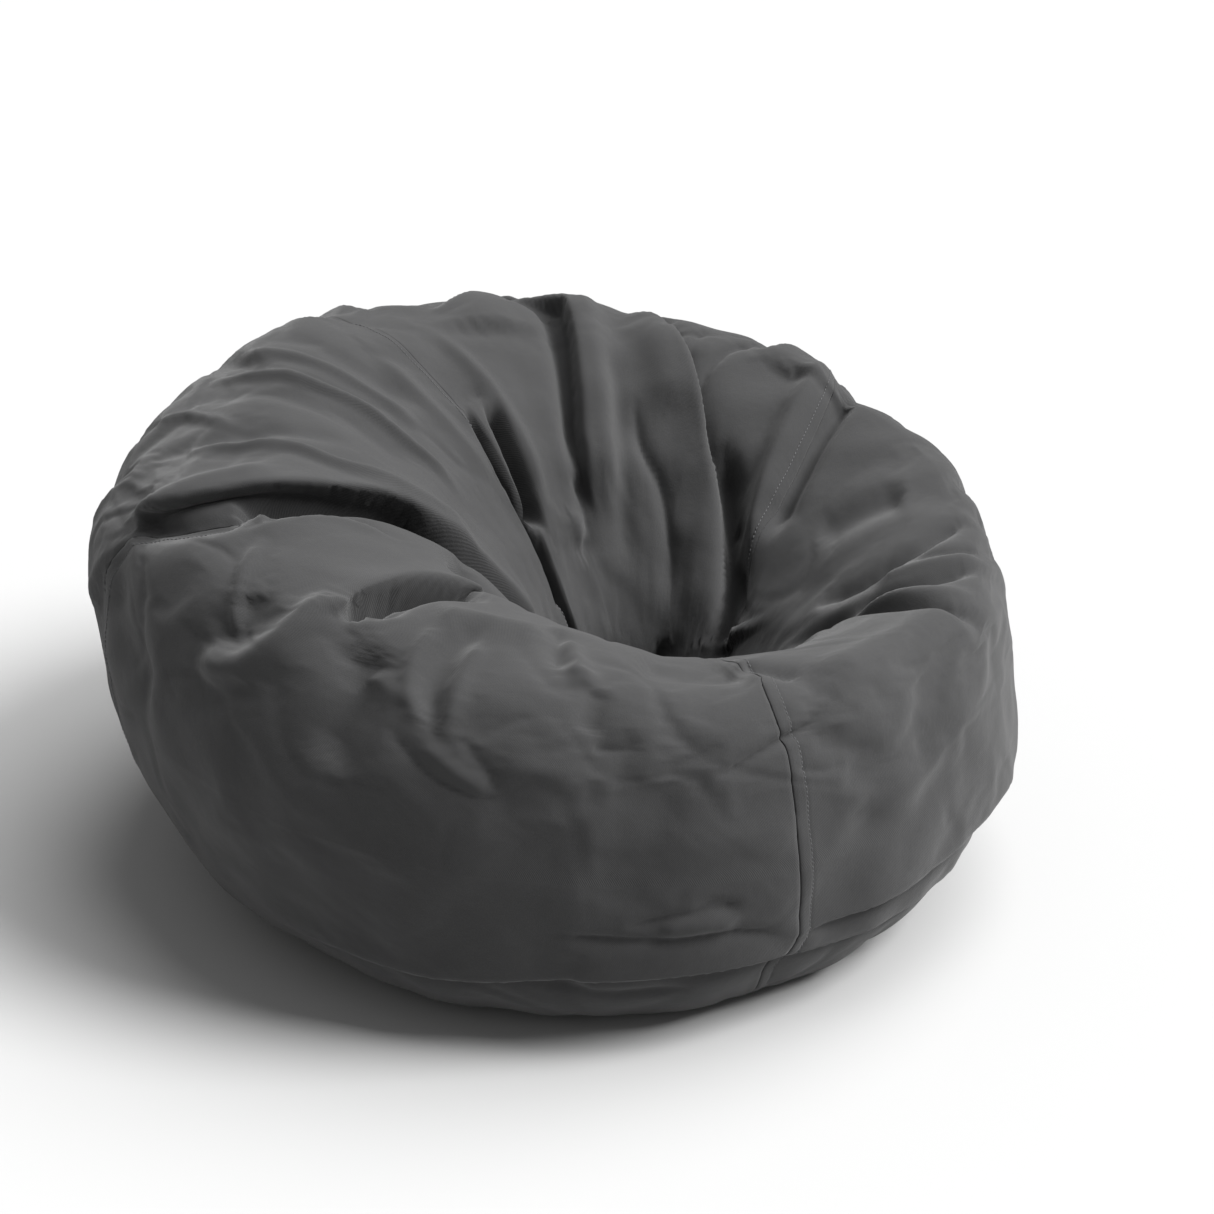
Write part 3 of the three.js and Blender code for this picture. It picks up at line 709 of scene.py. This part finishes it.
def cloth_material(name, color, thread_mm, depth, sheen, mottle=0.12):
    """Twill: diagonal ribs of yarn over a slub, with uneven dye and a soft nap."""
    material, tree, shader = new_material(name, color, 0.92, sheen=sheen, specular=0.25)
    link = tree.links.new
    coords = node(tree, "ShaderNodeTexCoord").outputs
    ribs = node(tree, "ShaderNodeTexWave", wave_type="BANDS", bands_direction="DIAGONAL", Distortion=1.2,
                Detail=2, Detail_Scale=1.5, Scale=2 * math.pi * 1000 / (10 * thread_mm * math.sqrt(2)))
    link(coords["UV"], ribs.inputs["Vector"])
    yarn = noise(tree, coords["Object"], 900 / thread_mm, 3)
    slub = noise(tree, coords["Object"], 60, 5)
    dye = noise(tree, coords["Object"], 5, 6)
    weave = node(tree, "ShaderNodeMath", operation="MULTIPLY_ADD")
    weave.inputs[1].default_value = 0.6
    link(ribs.outputs["Fac"], weave.inputs[0])
    link(yarn, weave.inputs[2])
    woven = bumped(tree, weave.outputs[0], 0.6, depth)
    link(bumped(tree, slub, 0.5, 0.0012, over=woven), shader.inputs["Normal"])
    both = node(tree, "ShaderNodeMath", operation="MULTIPLY")
    link(remapped(tree, dye, 0.3, 0.7, 1 - mottle, 1 + mottle), both.inputs[0])
    link(remapped(tree, weave.outputs[0], 0.3, 1.3, 0.8, 1.2), both.inputs[1])
    shade = node(tree, "ShaderNodeMix", data_type="RGBA", blend_type="MULTIPLY")
    shade.inputs["Factor"].default_value = 1
    shade.inputs["A"].default_value = (*color, 1)
    link(both.outputs[0], shade.inputs["B"])
    link(shade.outputs["Result"], shader.inputs["Base Color"])
    return material


def plain_material(name, color, roughness, metallic=0.0, scratch=0.0, scale=400, depth=0.0002):
    """Metal, plastic, tape or thread: one colour with fine unevenness."""
    material, tree, shader = new_material(name, color, roughness, metallic)
    grain = noise(tree, node(tree, "ShaderNodeTexCoord").outputs["Object"], scale, 4)
    tree.links.new(bumped(tree, grain, 0.4, depth), shader.inputs["Normal"])
    rough = remapped(tree, grain, 0, 1, roughness - scratch, roughness + scratch)
    tree.links.new(rough, shader.inputs["Roughness"])
    return material


def bead_material(name, color):
    """Loose expanded beads, a few millimetres across."""
    material, tree, shader = new_material(name, color, 0.6)
    cells = node(tree, "ShaderNodeTexVoronoi", feature="F1", Scale=220)
    coords = node(tree, "ShaderNodeTexCoord").outputs
    tree.links.new(coords["Object"], cells.inputs["Vector"])
    relief_of_beads = bumped(tree, cells.outputs["Distance"], 1, 0.002, invert=True)
    tree.links.new(relief_of_beads, shader.inputs["Normal"])
    return material


# ---- building

TWILL = cloth_material("cover_twill", (0.028, 0.028, 0.0285), 1.3, 0.0004, 0.14)
LINER = cloth_material("liner_cloth", (0.78, 0.78, 0.75), 0.7, 0.0002, 0.1, mottle=0.04)
LABEL = cloth_material("label_cloth", (0.85, 0.85, 0.83), 0.6, 0.0001, 0.2, mottle=0.02)
THREAD = plain_material("thread", (0.07, 0.07, 0.072), 0.6)
TAPE = plain_material("zip_tape", (0.03, 0.03, 0.032), 0.85, scale=900)
METAL = plain_material("zip_metal", (0.55, 0.55, 0.56), 0.35, 1.0, scratch=0.1)
COIL = plain_material("zip_coil", (0.75, 0.75, 0.73), 0.4)
BEADS = bead_material("beads", (0.9, 0.9, 0.88))


def build_cover():
    for wall, side in enumerate(WALLS):
        degrees, station, tuck, share = wall_grid(wall)
        place, normal = folded(degrees, station, wall, share, (station[0] - 1) / 3)
        place = place - normal * tuck[..., None]
        piece = grid_mesh(f"twill_wall_{side}", place, uv=cloth_uv(degrees, station))
        dress(piece, TWILL, "cover_twill", "bag", f"cover_wall_{side}")


def build_liner():
    for wall, side in enumerate(WALLS):
        grid = wall_grid(wall, *LAYER_GRID, edges=False)
        degrees, station, _, _ = grid
        place = sunk(grid, wall, LINER_UNDER)
        place[..., 2] = np.maximum(place[..., 2], LINER_LOWEST)
        uv = cloth_uv(degrees, station)[::2, ::2]
        piece = grid_mesh(f"liner_cloth_{side}", place, uv=uv)
        dress(piece, LINER, "liner_cloth", "bag", f"liner_wall_{side}")


def build_fill():
    """One closed skin of beads, inside the liner and clear of its zip."""
    walls = []
    for wall in range(4):
        walls.append(sunk(wall_grid(wall, *LAYER_GRID, edges=False), wall, FILL_UNDER)[:-1])
    place = np.concatenate(walls)
    floor_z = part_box("liner_zip_slider")[1][2] + FILL_OVER_SLIDER
    cap_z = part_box("liner_seat_cap")[0][2] - FILL_UNDER_CAP
    place[..., 2] = np.maximum(place[..., 2], floor_z)
    place[:, -1, 2] = np.minimum(place[:, -1, 2], cap_z)
    base = [place[:, 0] * (1, 1, 0) * t + np.array([*BASE_CENTRE, 0]) * (1 - t) + (0, 0, floor_z)
            for t in (0.02, 0.4, 0.8)]
    level = np.full((len(place), 1), cap_z)
    cap = [np.concatenate([PIT_CENTRE + (place[:, -1, :2] - PIT_CENTRE) * t, level], 1)
           for t in (0.7, 0.35, 0.02)]
    rows = np.stack([*base, *np.moveaxis(place, 1, 0), *cap], 1)
    piece = grid_mesh("bead_filling", np.concatenate([rows, rows[:1]]))
    close_ends(piece)
    dress(piece, BEADS, "beads", "bag", "bead_fill")


def close_ends(piece):
    """Joins a wrapped grid's first and last columns and closes its small holes."""
    mesh = bmesh.new()
    mesh.from_mesh(piece.data)
    bmesh.ops.remove_doubles(mesh, verts=mesh.verts, dist=1e-6)
    bmesh.ops.holes_fill(mesh, edges=mesh.edges, sides=0)
    mesh.to_mesh(piece.data)
    mesh.free()


def build_cap(name, slot, material, cad, inside, puckers):
    """The round panel at the bottom of the seat, drawn in at its seam."""
    low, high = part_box(cad)
    top = high[2]
    radius = (high[0] - low[0]) / 2 - inside
    centre = np.array([(low[0] + high[0]) / 2, (low[1] + high[1]) / 2])
    angle = np.linspace(0, 2 * math.pi, 97)
    share = np.array([0.0, 0.15, 0.3, 0.45, 0.6, 0.72, 0.82, 0.9, 0.95, 0.98, 1.0, 1.0])
    sink = np.array([0, 0, 0, 0, 0, 0, 0, 0, 0.0002, 0.001, 0.0028, 0.006])
    crown = CAP_CROWN * (1 - share ** 2)
    ripple = CAP_PUCKER * np.cos(puckers * angle) + CAP_RIPPLE * np.cos(CAP_RIPPLES * angle + 1)
    height = top + crown - sink + ripple[:, None] * share ** 2 * (share < 0.99)
    x = centre[0] + radius * share * np.sin(angle)[:, None]
    y = centre[1] - radius * share * np.cos(angle)[:, None]
    place = np.stack([x, y, height], -1)
    piece = grid_mesh(name, place, uv=place[..., :2])
    close_ends(piece)
    dress(piece, material, slot, "bag", cad)


def strung(name, centres, along, up, template, faces):
    """Copies of a small template, one at each centre. Template points are (along, across, up)."""
    across = unit(np.cross(up, along))
    points = np.repeat(centres[:, None], len(template), axis=1)
    for axis, direction in enumerate((along, across, up)):
        points = points + template[None, :, axis:axis + 1] * direction[:, None]
    count, size = points.shape[:2]
    every = [[i + k * size for i in face] for k in range(count) for face in faces]
    mesh = bpy.data.meshes.new(name)
    mesh.from_pydata(points.reshape(-1, 3).tolist(), [], every)
    mesh.polygons.foreach_set("use_smooth", np.ones(len(every), bool))
    return new_object(name, mesh)


def rings(outlines):
    """Points and faces of a closed skin through outlines of equal length, with its ends filled."""
    size = len(outlines[0])
    points = np.concatenate([np.array(outline, float) for outline in outlines])
    faces = []
    for k in range(len(outlines) - 1):
        for i in range(size):
            j = (i + 1) % size
            faces.append([k * size + i, k * size + j, (k + 1) * size + j, (k + 1) * size + i])
    faces.append(list(range(size))[::-1])
    faces.append([(len(outlines) - 1) * size + i for i in range(size)])
    return points, faces


def stitch_shape():
    """One stitch: a short thread that dips into the cloth at both ends."""
    levels = [(-t, wide, high) for t, wide, high in STITCH_LEVELS] + STITCH_LEVELS[::-1]
    outlines = []
    for t, wide, high in levels:
        outline = []
        for angle in np.arange(6) * math.pi / 3:
            across = wide * STITCH_RADIUS * math.cos(angle)
            outline.append((t * STITCH_LENGTH / 2, across, STITCH_RADIUS * (high + wide * math.sin(angle))))
        outlines.append(outline)
    return rings(outlines)


def evenly(line, pitch):
    """Places every pitch along a line, as fractional indices into it."""
    run = np.concatenate([[0], np.cumsum(np.linalg.norm(np.diff(line, axis=0), axis=1))])
    return np.interp(np.arange(pitch, run[-1] - pitch, pitch), run, np.arange(len(line)))


def at_index(values, index):
    """Values between those of a list, at fractional indices into it."""
    low = np.floor(index).astype(int)
    t = (index - low)[:, None]
    return values[low] * (1 - t) + values[np.minimum(low + 1, len(values) - 1)] * t


def build_stitching():
    """The row of topstitching beside each wall seam, which lies on the middle one of three close lines."""
    share = (STITCH_BESIDE + np.array([-0.002, 0, 0.002])) * 1000 / WALL_WIDTH
    station = np.linspace(*STITCH_STATIONS, 700)
    template, faces = stitch_shape()
    for wall, seam in enumerate(SEAMS):
        place, normal = folded(*spots(wall, share, station), wall, share, (station - 1) / 3)
        line, up = place[1], normal[1]
        index = evenly(line, STITCH_PITCH)
        along = unit(at_index(unit(np.gradient(line, axis=0)), index))
        raised = at_index(line, index) + at_index(up, index) * STITCH_LIFT
        piece = strung(f"topstitching_{seam}", raised, along, unit(at_index(up, index)), template, faces)
        dress(piece, THREAD, "thread", "bag", f"seam_stitch_{seam}")


def build_base(name, layer, slot, material, gap, gap_length, thickness, clear):
    """The two half-round base panels, hemmed along the zip and lying in soft waves, clear of the CAD's."""
    share = np.array([0, 0.004, 0.012, 0.03, 0.05, 0.06, *np.arange(0.1, 0.95, 0.1), 0.97, 1])
    for half, side in (("front", -1), ("back", 1)):
        cad = f"{layer}_base_{half}"
        low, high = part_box(cad)
        zip_y = high[1] if side < 0 else low[1]
        radius = BASE_R - BASE_INSIDE
        x = np.sin(np.linspace(-0.97, 0.97, 121) * math.pi / 2) * radius
        beside_zip = np.abs(x) < gap_length / 2
        inner = zip_y - BASE_CENTRE[1] + side * (BASE_APART + gap * beside_zip)
        outer = side * np.sqrt(radius ** 2 - x ** 2)
        inner = np.where(side * inner > side * outer, outer, inner)
        y = inner[:, None] + share * (outer - inner)[:, None]
        hem = HEM * (share < 0.05) - HEM_GROOVE * (np.abs(share - 0.055) < 0.006)
        slack = np.clip(4 * share * (1 - share), 0, 1)
        wave = BASE_WAVE * (1 + np.sin(x[:, None] * 90 + y * 100)) * slack
        z = low[2] + clear - hem * 0.5 + wave
        place = np.stack([BASE_CENTRE[0] + x[:, None] + 0 * y, BASE_CENTRE[1] + y, z], -1)
        if side < 0:
            place = place[::-1]
        piece = grid_mesh(f"{name}_{half}", place, uv=place[..., :2])
        thicken(piece, thickness, 1)
        dress(piece, material, slot, "bag", cad)


def thicken(piece, thickness, offset):
    solid = piece.modifiers.new("thickness", "SOLIDIFY")
    solid.thickness, solid.offset = thickness, offset


def build_teeth(cad, name, slot, material, pitch, side):
    """A row of zip teeth with bevelled heads that point at the other row. side is -1 for the front row."""
    low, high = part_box(cad)
    count = int((high[0] - low[0]) / pitch)
    deep, tall = high[1] - low[1], high[2] - low[2]
    outlines = []
    for height, bevel in TOOTH_LEVELS:
        long, wide = pitch * TOOTH_WIDTH * (1 - bevel), deep * (1 - bevel)
        outline = [(u * long, side * -v * wide, (height - 0.5) * tall) for u, v in TOOTH_OUTLINE]
        outlines.append(outline[::side])
    template, faces = rings(outlines)
    x = low[0] + pitch * (np.arange(count) + (0.5 if side < 0 else 0.98))
    x = x[x < high[0] - pitch / 2]
    centres = np.tile([(low[i] + high[i]) / 2 for i in range(3)], (len(x), 1))
    centres[:, 0] = x
    along = np.tile([1.0, 0, 0], (len(x), 1))
    up = np.tile([0, 0, 1.0], (len(x), 1))
    piece = strung(name, centres, along, up, template, faces)
    dress(piece, material, slot, "bag", cad)


def build_label():
    """A small care label: a tape sewn into the back seam that curls off the wall."""
    columns, rows = 14, 18
    far = LABEL_FROM_SEAM + LABEL_SIZE[0] / LABEL_WALL_WIDTH
    share = 1 - np.linspace(LABEL_FROM_SEAM, far, columns)[::-1]
    station = np.linspace(*LABEL_STATIONS, rows)
    degrees, stations = spots(1, share, station)
    place, normal = folded(degrees, stations, 1, share, (station - 1) / 3)
    curl = LABEL_LIFT + LABEL_CURL * np.linspace(1, 0, columns)[:, None] ** 2
    place = place + normal * curl[..., None]
    piece = grid_mesh("label_tape", place, uv=cloth_uv(degrees, stations))
    thicken(piece, LABEL_THICK, -1)
    dress(piece, LABEL, "label_cloth", "bag", "care_label")


def finish_node(name, material, bevel):
    """A CAD piece whose shape is right: its own finish, with its edges broken."""
    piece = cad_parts[name]
    for slot in piece.material_slots:
        slot.link = "OBJECT"
        slot.material = material
    break_edges(piece, bevel)


def break_edges(piece, bevel):
    edge = piece.modifiers.new("edges", "BEVEL")
    edge.width = bevel
    edge.segments = 2


def build_slider(cad, slot, material):
    """A zip slider: a body that narrows towards the closed teeth, with a raised bridge on its outer face."""
    low, high = np.array(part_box(cad))
    centre, half = (low + high) / 2, (high - low) / 2
    outlines = []
    for height, long, wide in SLIDER_LEVELS:
        outlines.append([(u * long * half[0], v * wide * half[1], height * half[2])
                         for u, v in SLIDER_OUTLINE])
    along, up = np.array([[1.0, 0, 0]]), np.array([[0, 0, 1.0]])
    piece = strung(f"{cad}_shaped", centre[None], along, up, *rings(outlines))
    piece.data.polygons.foreach_set("use_smooth", np.zeros(len(piece.data.polygons), bool))
    break_edges(piece, STOP_EDGE)
    dress(piece, material, slot, cad.replace("_zip", ""), cad)


def build_zip(layer, slot, material, pitch):
    for half, side in (("front", -1), ("back", 1)):
        build_teeth(f"{layer}_zip_teeth_{half}", f"{layer}_teeth_{half}", slot, material, pitch, side)
        finish_node(f"{layer}_zip_tape_{half}", TAPE, TAPE_EDGE)
    for end in ("left", "right"):
        finish_node(f"{layer}_zip_stop_{end}", material, STOP_EDGE)
    build_slider(f"{layer}_zip_slider", slot, material)


SETTLED = settle()
build_cover()
build_liner()
build_fill()
build_cap("twill_seat_cap", "cover_twill", TWILL, "cover_seat_cap", 0.0, puckers=17)
build_cap("liner_cloth_cap", "liner_cloth", LINER, "liner_seat_cap", LINER_CAP_INSIDE, puckers=13)
build_base("twill_base", "cover", "cover_twill", TWILL, *COVER_ZIP_SLOT, TWILL_THICK, 0.0007)
build_base("liner_cloth_base", "liner", "liner_cloth", LINER, *LINER_ZIP_SLOT, LINER_THICK, 0.0006)
build_zip("cover", "zip_metal", METAL, COVER_PITCH)
build_zip("liner", "zip_coil", COIL, LINER_PITCH)
build_stitching()
build_label()


# ---- stage, light and camera

def stage_and_camera():
    scene = bpy.context.scene
    world = bpy.data.worlds.new("studio")
    scene.world = world
    world.use_nodes = True
    background = world.node_tree.nodes["Background"]
    background.inputs["Color"].default_value = (1, 1, 1, 1)
    background.inputs["Strength"].default_value = SKY
    floor_mesh = bpy.data.meshes.new("floor")
    corners = [(u * FLOOR_HALF, v * FLOOR_HALF, 0) for u, v in ((-1, -1), (1, -1), (1, 1), (-1, 1))]
    floor_mesh.from_pydata(corners, [], [(0, 1, 2, 3)])
    floor = new_object("floor", floor_mesh)
    paper, _, _ = new_material("paper", (PAPER_GREY, PAPER_GREY, PAPER_GREY), 0.9)
    floor_mesh.materials.append(paper)
    add_sun("key", *KEY_SUN)
    add_sun("top", *TOP_SUN)
    camera_data = bpy.data.cameras.new("camera")
    camera = new_object("camera", camera_data)
    scene.camera = camera
    aim = Vector((BASE_CENTRE[0], BASE_CENTRE[1], CAMERA_AIM_Z))
    turn, rise = math.radians(CAMERA_TURN), math.radians(CAMERA_RISE)
    back = Vector((math.sin(turn) * math.cos(rise), -math.cos(turn) * math.cos(rise), math.sin(rise)))
    camera.location = aim + back * CAMERA_AWAY
    camera.rotation_euler = back.to_track_quat("Z", "Y").to_euler()
    camera_data.lens = CAMERA_LENS
    camera_data.shift_x, camera_data.shift_y = CAMERA_SHIFT
    scene.view_settings.view_transform = "Standard"


def add_sun(name, place, spread, strength):
    """Soft light from the direction of place, as wide in degrees as spread."""
    light = bpy.data.lights.new(name, "SUN")
    light.angle = math.radians(spread)
    light.energy = strength
    lamp = new_object(name, light)
    lamp.location = place
    lamp.rotation_euler = (-Vector(place)).to_track_quat("-Z", "Y").to_euler()


stage_and_camera()
